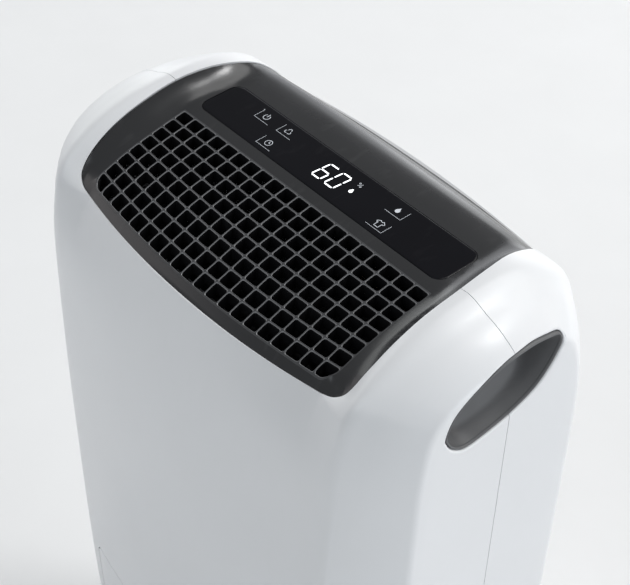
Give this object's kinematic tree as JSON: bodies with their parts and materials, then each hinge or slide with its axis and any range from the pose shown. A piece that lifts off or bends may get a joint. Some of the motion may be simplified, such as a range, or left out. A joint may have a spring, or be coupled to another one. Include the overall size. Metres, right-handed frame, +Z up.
{
  "type": "compressor dehumidifier",
  "caption": "Compact compressor dehumidifier with a bowed casing, top air outlet lattice, touch panel, side hand grips and a pull-out front water tank.",
  "frame": {"origin": "on the floor under the middle of the casing", "axes": "+Z up, front of the machine towards -Y, its right side (seen from the front) towards +X"},
  "size_m": [0.334, 0.215, 0.5],
  "materials": {
    "white_shell": "gloss white moulded shell",
    "dark_trim": "satin anthracite",
    "black_glass": "gloss black touch panel",
    "grip_grey": "fine textured",
    "grey_plastic": "moulded",
    "light_plastic": "moulded",
    "white_plastic": "moulded",
    "clear_tank": "translucent polypropylene",
    "smoked_window": "smoked clear plastic",
    "black_rubber": "soft rubber",
    "filter_net": "fine net",
    "fin_aluminium": "bare sheet",
    "copper_tube": "drawn copper",
    "steel_plate": "zinc plated",
    "black_enamel": "black enamel",
    "motor_metal": "grey paint",
    "board_green": "solder mask"
  },
  "bodies": {
    "housing": {"front_shell": "white_shell", "rear_shell": "white_shell", "top_panel": "dark_trim", "outlet_grille": "dark_trim", "control_glass": "black_glass", "display_board": "board_green", "grip_left": "grip_grey", "grip_right": "grip_grey", "base_tray": "grey_plastic", "rubber_feet": "black_rubber", "chassis_wall": "light_plastic", "intake_grille": "white_shell", "grille_screws": "steel_plate", "evaporator_fins": "fin_aluminium", "evaporator_tube": "copper_tube", "condenser_fins": "fin_aluminium", "condenser_tube": "copper_tube", "coil_plates": "steel_plate", "drip_tray": "light_plastic", "drain_hose": "black_rubber", "drain_spigot": "light_plastic", "compressor": "black_enamel", "accumulator": "black_enamel", "terminal_cover": "black_rubber", "grommets": "black_rubber", "mounting_studs": "steel_plate", "stud_nuts": "steel_plate", "suction_pipe": "copper_tube", "discharge_pipe": "copper_tube", "fan_housing": "grip_grey", "fan_motor": "motor_metal", "motor_bracket": "steel_plate", "electronics_box": "light_plastic", "run_capacitor": "white_plastic", "humidity_sensor": "white_plastic", "float_sensor": "black_rubber", "cord_gland": "black_rubber"},
    "tank": {"water_tank": "clear_tank", "tank_front": "white_shell", "tank_window": "smoked_window", "tank_lid": "white_plastic"},
    "bail": {"tank_handle": "grey_plastic"},
    "float": {"tank_float": "white_plastic"},
    "filter": {"air_filter": "grey_plastic", "filter_mesh": "filter_net"},
    "rotor": {"blower_wheel": "white_plastic", "motor_shaft": "steel_plate"},
    "cap": {"drain_cap": "black_rubber"}
  },
  "joints": [
    {"name": "tank_slide", "type": "slide", "parent": "housing", "child": "tank", "axis": [0, -1, 0], "range_m": [0, 0.16]},
    {"name": "bail_fold", "type": "hinge", "parent": "tank", "child": "bail", "pos_m": [0, -0.05, 0.157], "axis": [-1, 0, 0], "range_deg": [0, 64]},
    {"name": "float_lift", "type": "hinge", "parent": "tank", "child": "float", "pos_m": [-0.08, -0.03, 0.156], "axis": [-1, 0, 0], "range_deg": [0, 12]},
    {"name": "filter_slide", "type": "slide", "parent": "housing", "child": "filter", "axis": [0, 0, 1], "range_m": [0, 0.24]},
    {"name": "fan_spin", "type": "hinge", "parent": "housing", "child": "rotor", "pos_m": [0, -0.04, 0.322], "axis": [0, 1, 0], "continuous": true},
    {"name": "drain_cap_pull", "type": "slide", "parent": "housing", "child": "cap", "axis": [0, 1, 0], "range_m": [0, 0.12]}
  ]
}
